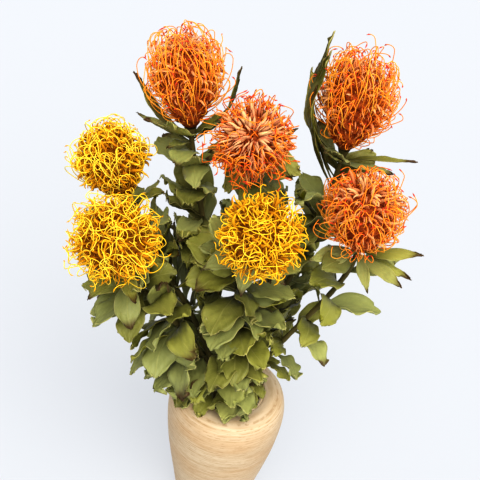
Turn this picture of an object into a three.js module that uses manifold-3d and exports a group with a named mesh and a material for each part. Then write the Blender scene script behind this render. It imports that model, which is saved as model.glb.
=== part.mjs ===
// Seven dried pincushion proteas, four orange and three yellow, standing in a turned wooden vase.
// Units are millimetres, +Z is up, and the origin is the centre of the vase's flat base.

import * as THREE from "three";
import { mergeVertices } from "three/addons/utils/BufferGeometryUtils.js";
import Module from "manifold-3d";

const wasm = await Module();
wasm.setup();

// Vase: a thick-walled urn that narrows to a flat base, with a full shoulder round a small mouth. Its
// outline is a list of [radius, height], from the base's edge up over the shoulder to the lip.
const RIM_HEIGHT = 180;
const MOUTH_RADIUS = 35;
const BELLY_RADIUS = 67;
const VASE_OUTLINE = [
  [44, 0],
  [51, 38],
  [58.5, 76],
  [64.5, 114],
  [BELLY_RADIUS, 152],
  [62.5, RIM_HEIGHT - 6],
  [51, RIM_HEIGHT + 1],
  [41, RIM_HEIGHT],
];
const OUTLINE_STEPS = 11;
const LIP_EASE = 1;
const LIP_DROP = 4;
const BORE_TAPER_HEIGHT = 90;
const BORE_FLOOR_RADIUS = 32;
const BORE_FLOOR_HEIGHT = 20;
const VASE_SEGMENTS = 24;

// Stems
const STEM_RADIUS = 2.8;
const STEM_SIDES = 5;
const STEM_STEPS = 10;
const FOOT_SHARE = 0.72;
const TOUCH_GAP = 0.3;
const NECK_RADIUS = 6.5;
const NECK_LENGTH = 10;
const RISE_PULL = 0.35;
const BLOOM_PULL = 0.4;
const LINE_STEPS = 24;

// Leaves. A pair is the value for the lowest leaf and for the highest, or a property's least and most.
const BLADE_THICKNESS = 0.8;
const LOWEST_LEAF_RISE = 12;
const LEAF_ROOT_OFFSET = 0.6;
const LEAF_TO_NECK = 24;
const COLLAR_TO_NECK = 12;
const COLLAR_STAGGER = 3;
const LEAF_CROWDING = 1.2;
const LEAF_LENGTHS = [48, 64, 76, 70, 60];
const HALF_WIDTH_SHARE = 0.32;
const LEAF_WIDEST_AT = 0.6;
const LEAF_SPREAD = [1.5, 3.0];
const ROOT_PITCH = [1.1, 0.7];
const PITCH_GAIN = [0.55, 0.35];
const FRONT_DROOP = 0.7;
const LENGTH_RANGE = [0.88, 1.12];
const WIDTH_RANGE = [0.85, 1.12];
const CUP_RANGE = [0.05, 0.35];
const WAVE_RANGE = [1, 3.2];
const WAVES_RANGE = [1.2, 1.9];
const LEAF_TWIST = 1.1;
const COLLAR_MARGIN = { cup: 0.3, wave: 1.2, waves: 1.5 };
const COLLAR_TWIST = 0.6;
const LEAF_TURNS = [0, 0.25, -0.25, 0.5, -0.5, 0.75, -0.75, 1, -1, 1.25, -1.25];
const LEAF_ROOM = 12;
const ROOT_SHARE = 0.15;

// Places on a blade, as [along, across], row by row. The last row has a tooth at each corner and at the
// tip, with notches between.
const LEAF_ROWS = [
  [[0, -1], [0, 1]],
  [[0.3, -1], [0.3, 0], [0.3, 1]],
  [[0.62, -1], [0.62, 0], [0.62, 1]],
  [[0.93, -1], [0.9, -0.5], [1, 0], [0.9, 0.5], [0.93, 1]],
];

// Clearances that the leaves keep from the blooms, the other stems and the vase's rounded top.
const BLOOM_CLEARANCE = 0.07;
const STEM_CLEARANCE = 2.2;
const VASE_CLEARANCE = 3.5;
const TOP_CROWN = RIM_HEIGHT + 1;
const TOP_FLAT_RADIUS = 50;
const TOP_EDGE_RADIUS = 69;
const TOP_EDGE_DROP = 24;
const SETTLE_ROUNDS = 4;

// Blooms: a core that carries the styles, which stay inside an egg of the stated girth and rise. The
// core's outline is a list of [radius, height] as shares of the girth and the rise.
const NECK_AT = 0.97;
const CORE_OUTLINE = [
  [0, -NECK_AT],
  [0.14, -NECK_AT],
  [0.44, -0.68],
  [0.6, -0.3],
  [0.6, 0.1],
  [0.42, 0.42],
  [0, 0.56],
];
const CORE_SIDES = 10;
const CORE_SWELL = 0.13;
const CORE_LOBES = 5;
const CORE_TWIST = 0.45;
const STYLE_COUNT = 24;
const STYLE_RADIUS = 0.75;
const STYLE_SIDES = 3;
const STYLE_STATIONS = [0, 0.4, 0.75, 1];
const STYLE_ROOT = 0.45;
const STYLE_ROOT_DROP = 0.12;
const STYLE_REACH = 0.97;
const STYLE_LEAN = [0.25, 0.5];
const STYLE_SWAY = 0.5;
const STYLE_CURL = [0.1, 0.32];
const CURL_FROM = 0.6;
const STYLE_ARCH = 2.2;
const LOWEST_STYLE = 2.3;
const GOLDEN_TURN = Math.PI * (3 - Math.sqrt(5));
const GOLDEN_SHARE = 0.61803;

const ORANGE = "#e0761e";
const YELLOW = "#f0bf1f";
const LEAF_GREEN = "#77803f";
const WOOD = "#dcb888";

// Each stem passes the mouth at `mouth` and ends below its bloom, whose middle is `bloom`. Its lowest
// leaves grow towards `facing`, in degrees, at `lowLeaves` of their full length. The leaves of the collar,
// just under the bloom, are [degrees about the bloom, length, pitch at root, at tip, width].
const STEMS = [
  {
    kind: "orange",
    mouth: [-14, 13],
    bloom: [-95, 60, 530],
    axis: [-0.18, 0.04, 0.98],
    girth: 42,
    rise: 55,
    leaves: 17,
    facing: 188,
    lowLeaves: 1,
    collar: [
      [172, 88, 0.8, 0.45, 0.13],
      [12, 86, 0.95, 0.7, 0.13],
      [215, 60, 0.8, 1, 0.2],
    ],
  },
  {
    kind: "orange",
    mouth: [-2, 21],
    bloom: [-22, 2, 509],
    axis: [-0.02, -0.76, 0.65],
    girth: 45,
    rise: 41,
    leaves: 15,
    facing: 240,
    lowLeaves: 1,
    collar: [
      [-35, 62, 0.9, 1.1, 0.16],
      [-150, 56, 0.9, 1.2, 0.2],
    ],
  },
  {
    kind: "orange",
    mouth: [15, 14],
    bloom: [69, 66, 534],
    axis: [0, 0, 1],
    girth: 43,
    rise: 57,
    leaves: 14,
    facing: 270,
    lowLeaves: 0.7,
    collar: [
      [175, 108, 0.9, -0.1, 0.09],
      [205, 100, 1, -0.1, 0.1],
      [-8, 76, 1.2, 1.35, 0.13],
      [235, 46, 0.8, 1.1, 0.3],
    ],
  },
  {
    kind: "orange",
    mouth: [21, -4],
    bloom: [94, -8, 456],
    axis: [-0.12, -0.3, 0.95],
    girth: 46,
    rise: 50,
    leaves: 13,
    facing: 236,
    lowLeaves: 0.4,
    collar: [
      [-8, 66, 1.15, 1.3, 0.15],
      [-40, 60, 1.3, 1.6, 0.2],
      [215, 62, 1.1, 1.5, 0.26],
    ],
  },
  {
    kind: "yellow",
    mouth: [-22, 0],
    bloom: [-155, 22, 446],
    axis: [-0.34, -0.09, 0.94],
    girth: 42,
    rise: 46,
    leaves: 13,
    facing: 232,
    lowLeaves: 0.9,
    collar: [[-10, 60, 1.1, 1.35, 0.22]],
  },
  {
    kind: "yellow",
    mouth: [-17, -14],
    bloom: [-132, -60, 413],
    axis: [-0.04, -0.5, 0.86],
    girth: 48,
    rise: 44,
    leaves: 16,
    facing: 240,
    lowLeaves: 1,
    collar: [[-60, 54, 1.2, 1.5, 0.24]],
  },
  {
    kind: "yellow",
    mouth: [2, -20],
    bloom: [0, -76, 459],
    axis: [0.14, -0.68, 0.72],
    girth: 45,
    rise: 47,
    leaves: 16,
    facing: 270,
    lowLeaves: 1,
    collar: [[-140, 58, 1.1, 1.4, 0.24]],
  },
];

// A repeatable number from 0 to 1 for the item `index` and its property `channel`.
function chance(index, channel) {
  const wave = Math.sin(index * 12.9898 + channel * 78.233) * 43758.5453;
  return wave - Math.floor(wave);
}

const mix = (a, b, t) => a + (b - a) * t;
const vector = (list) => new THREE.Vector3(...list);

// Two directions square to `axis` and to each other, the first towards `hint`.
function squareTo(axis, hint) {
  const first = hint.clone().addScaledVector(axis, -hint.dot(axis)).normalize();
  return [first, new THREE.Vector3().crossVectors(axis, first)];
}

function solidOf(geometry) {
  const bare = geometry.index ? geometry.toNonIndexed() : geometry;
  const points = new THREE.BufferGeometry().setAttribute("position", bare.getAttribute("position"));
  const merged = mergeVertices(points, 1e-4);
  return new wasm.Manifold(
    new wasm.Mesh({
      numProp: 3,
      vertProperties: merged.attributes.position.array,
      triVerts: new Uint32Array(merged.index.array),
    }),
  );
}

function geometryOf(solid) {
  const mesh = solid.getMesh();
  const geometry = new THREE.BufferGeometry();
  geometry.setAttribute("position", new THREE.BufferAttribute(mesh.vertProperties, 3));
  geometry.setIndex(new THREE.BufferAttribute(mesh.triVerts, 1));
  return geometry;
}

// One body from `solids`: the largest piece of their union, so that no scrap stays loose.
function fused(solids) {
  const pieces = wasm.Manifold.union(solids).decompose();
  return pieces.reduce((best, piece) => (piece.volume() > best.volume() ? piece : best));
}

// A closed mesh from a list of points and a list of triangles that index them.
function closedMesh(points, triangles) {
  const geometry = new THREE.BufferGeometry().setFromPoints(points);
  geometry.setIndex(triangles.flat());
  return geometry;
}

function vaseGeometry() {
  const outside = new THREE.SplineCurve(VASE_OUTLINE.map((place) => new THREE.Vector2(...place)));
  const profile = [
    new THREE.Vector2(0, 0),
    ...outside.getPoints(OUTLINE_STEPS),
    new THREE.Vector2(MOUTH_RADIUS + LIP_EASE, RIM_HEIGHT - 1.5 * LIP_EASE),
    new THREE.Vector2(MOUTH_RADIUS, RIM_HEIGHT - LIP_DROP),
    new THREE.Vector2(MOUTH_RADIUS, BORE_TAPER_HEIGHT),
    new THREE.Vector2(BORE_FLOOR_RADIUS, BORE_FLOOR_HEIGHT),
    new THREE.Vector2(0, BORE_FLOOR_HEIGHT),
  ];
  return new THREE.LatheGeometry(profile, VASE_SEGMENTS).rotateX(Math.PI / 2);
}

// The lowest height that a leaf may have above the vase, at `radius` from its axis.
function vaseTop(radius) {
  const past = Math.max(0, (radius - TOP_FLAT_RADIUS) / (TOP_EDGE_RADIUS - TOP_FLAT_RADIUS));
  return TOP_CROWN - TOP_EDGE_DROP * past * past + VASE_CLEARANCE;
}

// Adds to each stem its bloom's frame and its centre line, straight in the vase and curved above it.
function planStem(stem, index) {
  const axis = vector(stem.axis).normalize();
  const middle = vector(stem.bloom);
  const [side, back] = squareTo(axis, new THREE.Vector3(1, 0, 0));
  const top = middle.clone().addScaledVector(axis, -NECK_AT * stem.rise - TOUCH_GAP);
  const mouth = new THREE.Vector3(stem.mouth[0], stem.mouth[1], RIM_HEIGHT);
  const foot = new THREE.Vector3(
    stem.mouth[0] * FOOT_SHARE,
    stem.mouth[1] * FOOT_SHARE,
    BORE_FLOOR_HEIGHT + TOUCH_GAP,
  );
  const reach = mouth.distanceTo(top);
  const upwards = mouth.clone().sub(foot).normalize();
  const rising = new THREE.CubicBezierCurve3(
    mouth,
    mouth.clone().addScaledVector(upwards, RISE_PULL * reach),
    top.clone().addScaledVector(axis, -BLOOM_PULL * reach),
    top,
  );
  const turn = THREE.MathUtils.degToRad(stem.facing);
  const outward = new THREE.Vector3(Math.cos(turn), Math.sin(turn), 0);
  const line = rising.getPoints(LINE_STEPS);
  return { ...stem, index, axis, middle, side, back, top, mouth, foot, rising, reach, outward, line };
}

const stems = STEMS.map(planStem);

function nearestOn(line, point) {
  return line.reduce((best, spot) =>
    spot.distanceToSquared(point) < best.distanceToSquared(point) ? spot : best,
  );
}

// Moves a leaf's point off the blooms and the vase, and keeps it on its own stem's side of the others.
function settle(point, own) {
  const p = point.clone();
  for (let round = 0; round < SETTLE_ROUNDS; round++) {
    const home = nearestOn(own.line, p);
    for (const other of stems) {
      if (other === own) continue;
      const away = nearestOn(other.line, p);
      const towardsHome = home.clone().sub(away).normalize();
      const halfWay = home.clone().add(away).multiplyScalar(0.5);
      const inside = p.clone().sub(halfWay).dot(towardsHome);
      if (inside < STEM_CLEARANCE) p.addScaledVector(towardsHome, STEM_CLEARANCE - inside);
    }
    for (const bloom of stems) {
      const from = p.clone().sub(bloom.middle);
      const x = from.dot(bloom.side) / bloom.girth;
      const y = from.dot(bloom.back) / bloom.girth;
      const z = from.dot(bloom.axis) / bloom.rise;
      const depth = Math.hypot(x, y, z);
      const limit = 1 + BLOOM_CLEARANCE;
      if (depth < limit) p.copy(bloom.middle).addScaledVector(from, limit / depth);
    }
    const radius = Math.hypot(p.x, p.y);
    if (radius < TOP_EDGE_RADIUS - 1 && p.z < vaseTop(radius)) p.z = vaseTop(radius);
  }
  return p;
}

function leafHalfWidth(leaf, u) {
  const shape =
    u < LEAF_WIDEST_AT
      ? 0.07 + 0.93 * Math.sin((Math.PI / 2) * (u / LEAF_WIDEST_AT)) ** 1.7
      : Math.sqrt(1 - ((u - LEAF_WIDEST_AT) / 0.47) ** 2);
  return leaf.length * leaf.broad * shape;
}

// A point of the blade's middle sheet, `u` along it from root to tip and `v` across it from -1 to 1,
// before it is settled among its neighbours.
function looseLeafPoint(leaf, u, v) {
  const turn = leaf.tipPitch - leaf.rootPitch;
  const pitch = leaf.rootPitch + turn * u;
  const run = leaf.length / turn;
  const centre = leaf.root
    .clone()
    .addScaledVector(leaf.along, run * (Math.sin(pitch) - Math.sin(leaf.rootPitch)))
    .addScaledVector(leaf.out, run * (Math.cos(leaf.rootPitch) - Math.cos(pitch)));
  const roll = leaf.twist * u;
  const face = leaf.along
    .clone()
    .multiplyScalar(Math.sin(pitch))
    .addScaledVector(leaf.out, -Math.cos(pitch));
  const half = leafHalfWidth(leaf, u);
  const ripple = leaf.wave * Math.sin(2 * Math.PI * leaf.waves * u + leaf.phase + v);
  const lift = v * v * (leaf.cup * half + ripple);
  return centre
    .addScaledVector(leaf.across, v * half * Math.cos(roll) + lift * Math.sin(roll))
    .addScaledVector(face, lift * Math.cos(roll) - v * half * Math.sin(roll));
}

function leafPoint(leaf, u, v) {
  const loose = looseLeafPoint(leaf, u, v);
  const settled = settle(loose, leaf.stem);
  return loose.lerp(settled, Math.min(1, u / ROOT_SHARE));
}

// The leaf `k` of a stem. It turns about the stem, from the side it would grow on, to where it has room
// among the places that other leaves of the stem have taken. A leaf at the front droops.
function planLeaf(stem, k, taken) {
  const id = stem.index * 40 + k + 1;
  const level = k / (stem.leaves - 1);
  const first = LOWEST_LEAF_RISE / stem.reach;
  const last = 1 - LEAF_TO_NECK / stem.reach;
  const at = mix(first, last, level ** LEAF_CROWDING);
  const place = level * (LEAF_LENGTHS.length - 1);
  const lower = Math.min(Math.floor(place), LEAF_LENGTHS.length - 2);
  const fullLength = mix(LEAF_LENGTHS[lower], LEAF_LENGTHS[lower + 1], place - lower);
  const grownLength = fullLength * mix(stem.lowLeaves, 1, Math.min(1, 1.4 * level));
  const along = stem.rising.getTangent(at);
  const [e1, e2] = squareTo(along, stem.outward);
  const grown = (((k * GOLDEN_SHARE + chance(id, 1) * 0.15) % 1) - 0.5) * 2 * mix(...LEAF_SPREAD, level);
  const rootPitch = mix(...ROOT_PITCH, level) + 0.35 * (chance(id, 2) - 0.5);
  const tipPitch = rootPitch + mix(...PITCH_GAIN, level) + 0.7 * (chance(id, 3) - 0.3);
  const leaf = {
    stem,
    along,
    length: grownLength * mix(...LENGTH_RANGE, chance(id, 4)),
    broad: HALF_WIDTH_SHARE * mix(...WIDTH_RANGE, chance(id, 5)),
    cup: mix(...CUP_RANGE, chance(id, 6)),
    wave: mix(...WAVE_RANGE, chance(id, 7)),
    waves: mix(...WAVES_RANGE, chance(id, 8)),
    phase: 2 * Math.PI * chance(id, 9),
    twist: LEAF_TWIST * (chance(id, 10) - 0.5),
  };
  let best = null;
  for (const turn of LEAF_TURNS) {
    const angle = grown + turn;
    const out = e1.clone().multiplyScalar(Math.cos(angle)).addScaledVector(e2, Math.sin(angle));
    const across = new THREE.Vector3().crossVectors(along, out);
    const root = stem.rising.getPoint(at).addScaledVector(out, LEAF_ROOT_OFFSET);
    const droop = FRONT_DROOP * Math.max(0, -out.y) ** 2 * Math.min(1, 3 * level);
    const pitches = { rootPitch: rootPitch + 0.25 * droop, tipPitch: tipPitch + droop };
    const tried = { ...leaf, ...pitches, out, across, root, spots: [], crowding: 0 };
    for (const u of [0.4, 0.7, 1]) {
      for (const v of [-1, 0, 1]) {
        const loose = looseLeafPoint(tried, u, v);
        const spot = settle(loose, stem);
        const room = Math.min(LEAF_ROOM, ...taken.map((other) => other.distanceTo(spot)));
        tried.crowding += spot.distanceTo(loose) + LEAF_ROOM - room;
        tried.spots.push(spot);
      }
    }
    if (best === null || tried.crowding < best.crowding - 1e-6) best = tried;
  }
  return best;
}

// A leaf of the collar, which stands just under the bloom.
function planCollarLeaf(stem, k) {
  const id = stem.index * 40 + 30 + k;
  const [degrees, length, rootPitch, tipPitch, broad] = stem.collar[k];
  const at = 1 - (COLLAR_TO_NECK + COLLAR_STAGGER * (k % 2)) / stem.reach;
  const along = stem.rising.getTangent(at);
  const angle = THREE.MathUtils.degToRad(degrees);
  const hint = stem.side.clone().multiplyScalar(Math.cos(angle)).addScaledVector(stem.back, Math.sin(angle));
  const [out] = squareTo(along, hint);
  const across = new THREE.Vector3().crossVectors(along, out);
  const root = stem.rising.getPoint(at).addScaledVector(out, LEAF_ROOT_OFFSET);
  const phase = 2 * Math.PI * chance(id, 9);
  const twist = COLLAR_TWIST * (chance(id, 10) - 0.5);
  const margin = { ...COLLAR_MARGIN, phase, twist };
  return { stem, along, out, across, root, length, rootPitch, tipPitch, broad, ...margin };
}

// Triangles between two rows that both run from edge to edge, as index triples.
function stitch(lower, upper) {
  const triangles = [];
  let i = 0;
  let j = 0;
  while (i < lower.length - 1 || j < upper.length - 1) {
    const stepLower = (i + 1) / (lower.length - 1);
    const stepUpper = (j + 1) / (upper.length - 1);
    if (j === upper.length - 1 || (i < lower.length - 1 && stepLower < stepUpper)) {
      triangles.push([lower[i], lower[i + 1], upper[j]]);
      i++;
    } else {
      triangles.push([lower[i], upper[j + 1], upper[j]]);
      j++;
    }
  }
  return triangles;
}

function leafSolid(leaf) {
  const upper = [];
  const lower = [];
  const rows = [];
  for (const row of LEAF_ROWS) {
    rows.push(row.map((_, i) => upper.length + i));
    for (const [u, v] of row) {
      const middle = leafPoint(leaf, u, v);
      const du = leafPoint(leaf, Math.min(1, u + 0.05), v).sub(leafPoint(leaf, Math.max(0, u - 0.05), v));
      const dv = leafPoint(leaf, u, v + 0.1).sub(leafPoint(leaf, u, v - 0.1));
      const normal = new THREE.Vector3().crossVectors(dv, du).normalize();
      upper.push(middle.clone().addScaledVector(normal, BLADE_THICKNESS / 2));
      lower.push(middle.clone().addScaledVector(normal, -BLADE_THICKNESS / 2));
    }
  }
  const count = upper.length;
  const face = rows.slice(1).flatMap((row, i) => stitch(rows[i], row));
  const rim = [
    ...rows[0],
    ...rows.slice(1, -1).map((row) => row.at(-1)),
    ...rows.at(-1).toReversed(),
    ...rows.slice(1, -1).map((row) => row[0]).toReversed(),
  ];
  const triangles = [];
  for (const [a, b, c] of face) {
    triangles.push([a, b, c], [c + count, b + count, a + count]);
  }
  rim.forEach((a, i) => {
    const b = rim[(i + 1) % rim.length];
    triangles.push([b, a, a + count], [b, a + count, b + count]);
  });
  return solidOf(closedMesh([...upper, ...lower], triangles));
}

function leafyStem(stem) {
  const section = new THREE.Shape();
  for (let i = 0; i < STEM_SIDES; i++) {
    const angle = (2 * Math.PI * i) / STEM_SIDES;
    const corner = [STEM_RADIUS * Math.cos(angle), STEM_RADIUS * Math.sin(angle)];
    if (i === 0) section.moveTo(...corner);
    else section.lineTo(...corner);
  }
  section.closePath();
  const path = new THREE.CurvePath();
  path.add(new THREE.LineCurve3(stem.foot, stem.mouth));
  path.add(stem.rising);
  const sweep = { extrudePath: path, steps: STEM_STEPS, bevelEnabled: false };
  const shaft = new THREE.ExtrudeGeometry(section, sweep);
  const neck = new THREE.CylinderGeometry(NECK_RADIUS, STEM_RADIUS, NECK_LENGTH, STEM_SIDES);
  neck.rotateX(Math.PI / 2).translate(0, 0, -NECK_LENGTH / 2);
  neck.applyMatrix4(new THREE.Matrix4().makeBasis(stem.side, stem.back, stem.axis).setPosition(stem.top));
  const leaves = [];
  for (let k = 0; k < stem.leaves; k++) {
    const taken = leaves.flatMap((leaf) => leaf.spots);
    leaves.push(planLeaf(stem, k, taken));
  }
  stem.collar.forEach((_, k) => leaves.push(planCollarLeaf(stem, k)));
  return fused([solidOf(shaft), solidOf(neck), ...leaves.map(leafSolid)]);
}

// The bloom's core in its own frame: an egg with knobs where the florets are packed.
function coreSolid(stem) {
  const profile = CORE_OUTLINE.map(([r, z]) => new THREE.Vector2(r * stem.girth, z * stem.rise));
  const core = new THREE.LatheGeometry(profile, CORE_SIDES).rotateX(Math.PI / 2);
  const places = core.getAttribute("position");
  for (let i = 0; i < places.count; i++) {
    const x = places.getX(i);
    const y = places.getY(i);
    const z = places.getZ(i);
    if (z < -0.9 * stem.rise) continue;
    const swell = 1 + CORE_SWELL * Math.sin(CORE_LOBES * Math.atan2(y, x) + z * CORE_TWIST);
    places.setXY(i, x * swell, y * swell);
  }
  return solidOf(core);
}

// A point on style `i` of the bloom in its own frame, `s` from root to tip. The style leaves the core,
// arches up along the egg and curls in at its end.
function stylePoint(stem, i, s) {
  const id = stem.index * 500 + i + 1;
  const share = (i + 0.5) / STYLE_COUNT;
  const rootAngle = Math.acos(1 - (1 - Math.cos(LOWEST_STYLE)) * share);
  const lean = rootAngle * (1 - mix(...STYLE_LEAN, chance(id, 11)) * s * s);
  const turn = i * GOLDEN_TURN + STYLE_SWAY * (2 * chance(id, 12) - 1) * s * s;
  const curl = Math.max(0, (s - CURL_FROM) / (1 - CURL_FROM));
  const reach = STYLE_REACH - mix(...STYLE_CURL, chance(id, 13)) * curl * curl;
  const arch = new THREE.Vector3(
    reach * stem.girth * Math.sin(lean) * Math.cos(turn),
    reach * stem.girth * Math.sin(lean) * Math.sin(turn),
    reach * stem.rise * Math.cos(lean),
  );
  const root = new THREE.Vector3(
    STYLE_ROOT * stem.girth * Math.sin(rootAngle) * Math.cos(turn),
    STYLE_ROOT * stem.girth * Math.sin(rootAngle) * Math.sin(turn),
    stem.rise * (0.5 * Math.cos(rootAngle) - STYLE_ROOT_DROP),
  );
  return root.lerp(arch, 1 - (1 - s) ** STYLE_ARCH);
}

// A needle through `points`, pointed at its far end.
function needleSolid(points, radius) {
  const corners = [];
  const triangles = [[0, 2, 1]];
  let hint = new THREE.Vector3(0.3, 0.2, 1);
  points.slice(0, -1).forEach((point, i) => {
    const tangent = points[i + 1].clone().sub(points[Math.max(0, i - 1)]).normalize();
    const [a, b] = squareTo(tangent, hint);
    hint = a;
    for (let j = 0; j < STYLE_SIDES; j++) {
      const angle = (2 * Math.PI * j) / STYLE_SIDES;
      const aside = a.clone().multiplyScalar(Math.cos(angle)).addScaledVector(b, Math.sin(angle));
      corners.push(point.clone().addScaledVector(aside, radius));
      if (i === 0) continue;
      const here = i * STYLE_SIDES + j;
      const next = i * STYLE_SIDES + ((j + 1) % STYLE_SIDES);
      triangles.push([here - STYLE_SIDES, next - STYLE_SIDES, next], [here - STYLE_SIDES, next, here]);
    }
  });
  const tip = corners.length;
  corners.push(points.at(-1));
  const last = tip - STYLE_SIDES;
  for (let j = 0; j < STYLE_SIDES; j++) triangles.push([last + j, last + ((j + 1) % STYLE_SIDES), tip]);
  return solidOf(closedMesh(corners, triangles));
}

function bloomSolid(stem) {
  const styles = [];
  for (let i = 0; i < STYLE_COUNT; i++) {
    styles.push(needleSolid(STYLE_STATIONS.map((s) => stylePoint(stem, i, s)), STYLE_RADIUS));
  }
  const bloom = fused([coreSolid(stem), ...styles]);
  const frame = new THREE.Matrix4().makeBasis(stem.side, stem.back, stem.axis).setPosition(stem.middle);
  return geometryOf(bloom).applyMatrix4(frame);
}

function namedMesh(name, geometry, material) {
  const mesh = new THREE.Mesh(geometry, material);
  mesh.name = name;
  return mesh;
}

const wood = new THREE.MeshStandardMaterial({ color: WOOD, roughness: 0.6, metalness: 0 });
const foliage = new THREE.MeshStandardMaterial({ color: LEAF_GREEN, roughness: 0.75, metalness: 0 });
const petals = {
  orange: new THREE.MeshStandardMaterial({ color: ORANGE, roughness: 0.6, metalness: 0 }),
  yellow: new THREE.MeshStandardMaterial({ color: YELLOW, roughness: 0.6, metalness: 0 }),
};

const bouquet = new THREE.Group();
bouquet.name = "proteas_in_vase";
bouquet.add(namedMesh("vase", vaseGeometry(), wood));
const counts = { orange: 0, yellow: 0 };
for (const stem of stems) {
  counts[stem.kind] += 1;
  const label = stem.kind + "_" + counts[stem.kind];
  bouquet.add(namedMesh("leafy_stem_" + label, geometryOf(leafyStem(stem)), foliage));
  bouquet.add(namedMesh("bloom_" + label, bloomSolid(stem), petals[stem.kind]));
}

export default bouquet;
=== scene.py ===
"""Seven dried pincushion proteas in a turned wooden vase, seen from above the vase's front.

The leaves and blooms follow the same rules as the part's own, so each finer piece stays where its solid
is. The rules work in millimetres, and the meshes are made in metres.
"""

import math
from functools import partial

import bpy
import numpy as np
from mathutils import Matrix, Vector


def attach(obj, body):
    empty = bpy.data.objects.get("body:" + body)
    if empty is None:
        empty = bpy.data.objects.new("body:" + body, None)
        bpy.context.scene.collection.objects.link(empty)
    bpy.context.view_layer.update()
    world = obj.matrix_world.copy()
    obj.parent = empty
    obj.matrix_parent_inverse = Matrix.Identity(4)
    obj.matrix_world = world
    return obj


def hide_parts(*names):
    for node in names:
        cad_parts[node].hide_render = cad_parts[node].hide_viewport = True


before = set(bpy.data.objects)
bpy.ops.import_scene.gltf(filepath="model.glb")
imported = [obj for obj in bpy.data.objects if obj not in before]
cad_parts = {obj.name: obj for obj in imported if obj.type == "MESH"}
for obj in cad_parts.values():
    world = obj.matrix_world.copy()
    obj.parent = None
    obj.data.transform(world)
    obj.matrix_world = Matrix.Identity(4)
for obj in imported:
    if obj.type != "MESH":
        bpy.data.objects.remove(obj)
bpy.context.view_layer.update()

MM = 0.001
TURN = 2 * math.pi
EAST, NORTH, UP = np.eye(3)
TUBE_HINT = np.array([0.31, 0.52, 0.8])

# Camera, fitted to the photograph's vase. It looks down by its dip, in degrees.
CAMERA_TARGET = (-17.5, 0, 392.75)
CAMERA_DISTANCE = 933
CAMERA_DIP = 38
CAMERA_ROLL = 10
CAMERA_LENS = 70

# Light
SUN_FROM = (0.22, -0.7, 1.05)
SUN_STRENGTH = 4.1
SUN_SPREAD = 60
SKY_STRENGTH = 0.82
PICTURE_GAMMA = 0.75
FLOOR_TINT = (124, 125, 126)
FLOOR_GLOW = 0.6

# Vase. Its outline is a list of (radius, height), from the base's edge up over the shoulder to the lip.
RIM_HEIGHT = 180
MOUTH_RADIUS = 35
BELLY_RADIUS = 67
BASE_RADIUS = 44
VASE_OUTLINE = [
    (BASE_RADIUS, 0), (51, 38), (58.5, 76), (64.5, 114),
    (BELLY_RADIUS, 152), (62.5, RIM_HEIGHT - 6), (51, RIM_HEIGHT + 1), (41, RIM_HEIGHT),
]
NEAR_AXIS = 0.01
BORE_FLOOR_RADIUS = 32
BORE_FLOOR_HEIGHT = 20
LIP_BEAD = [
    (40.7, 0.7), (40.2, 0.8), (39.8, 0.3), (39.4, 0.2), (38.4, 0.1),
    (37.2, 0.6), (36.2, 1.4), (MOUTH_RADIUS + 0.4, 2.5), (MOUTH_RADIUS, 4),
]
VASE_SEGMENTS = 96
VASE_RINGS = 60

# Stems
STEM_RADIUS = 2.8
FOOT_SHARE = 0.72
TOUCH_GAP = 0.3
NECK_RADIUS = 6.5
NECK_LENGTH = 10
RISE_PULL = 0.35
BLOOM_PULL = 0.4
LINE_STEPS = 24
STEM_RINGS = 60
RINGS_IN_VASE = 12
STEM_SIDES = 10
STEM_KNOTS = 0.18

# Leaves. A pair is the value for the lowest leaf and for the highest, or a property's least and most. A
# jitter is the whole width of a random change.
LEAVES_A_STEM = 40
FIRST_EXTRA = 20.3
FIRST_COLLAR = 30
LOWEST_LEAF_RISE = 12
LEAF_ROOT_OFFSET = 0.6
LEAF_TO_NECK = 24
COLLAR_TO_NECK = 12
COLLAR_STAGGER = 3
LEAF_CROWDING = 1.2
LEAF_LENGTHS = [48, 64, 76, 70, 60]
HALF_WIDTH_SHARE = 0.32
LEAF_WIDEST_AT = 0.6
LEAF_OUTLINE = dict(root=0.07, swell=0.93, fullness=1.7, tip=0.47)
LEAF_SPREAD = (1.5, 3.0)
SPREAD_JITTER = 0.15
ROOT_PITCH = (1.1, 0.7)
ROOT_JITTER = 0.35
PITCH_GAIN = (0.55, 0.35)
TIP_JITTER = 0.7
FRONT_DROOP = 0.7
LENGTH_RANGE = (0.88, 1.12)
WIDTH_RANGE = (0.85, 1.12)
CUP_RANGE = (0.05, 0.35)
WAVE_RANGE = (1, 3.2)
WAVES_RANGE = (1.2, 1.9)
LEAF_TWIST = 1.1
COLLAR_MARGIN = dict(cup=0.3, wave=1.2, waves=1.5)
COLLAR_TWIST = 0.6
CROWDING_SPOTS = np.array([[0.4] * 3 + [0.7] * 3 + [1] * 3, [-1, 0, 1] * 3])
LEAF_TURNS = [0, 0.25, -0.25, 0.5, -0.5, 0.75, -0.75, 1, -1, 1.25, -1.25]
LEAF_ROOM = 12
ROOT_SHARE = 0.15
FILLER_SIZE = 0.85
FIRST_FILLER = 2
FILLER_ROOT_JITTER = 0.6
FILLER_TIP_JITTER = 1.2
FILLER_TWIST = 2.2

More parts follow.
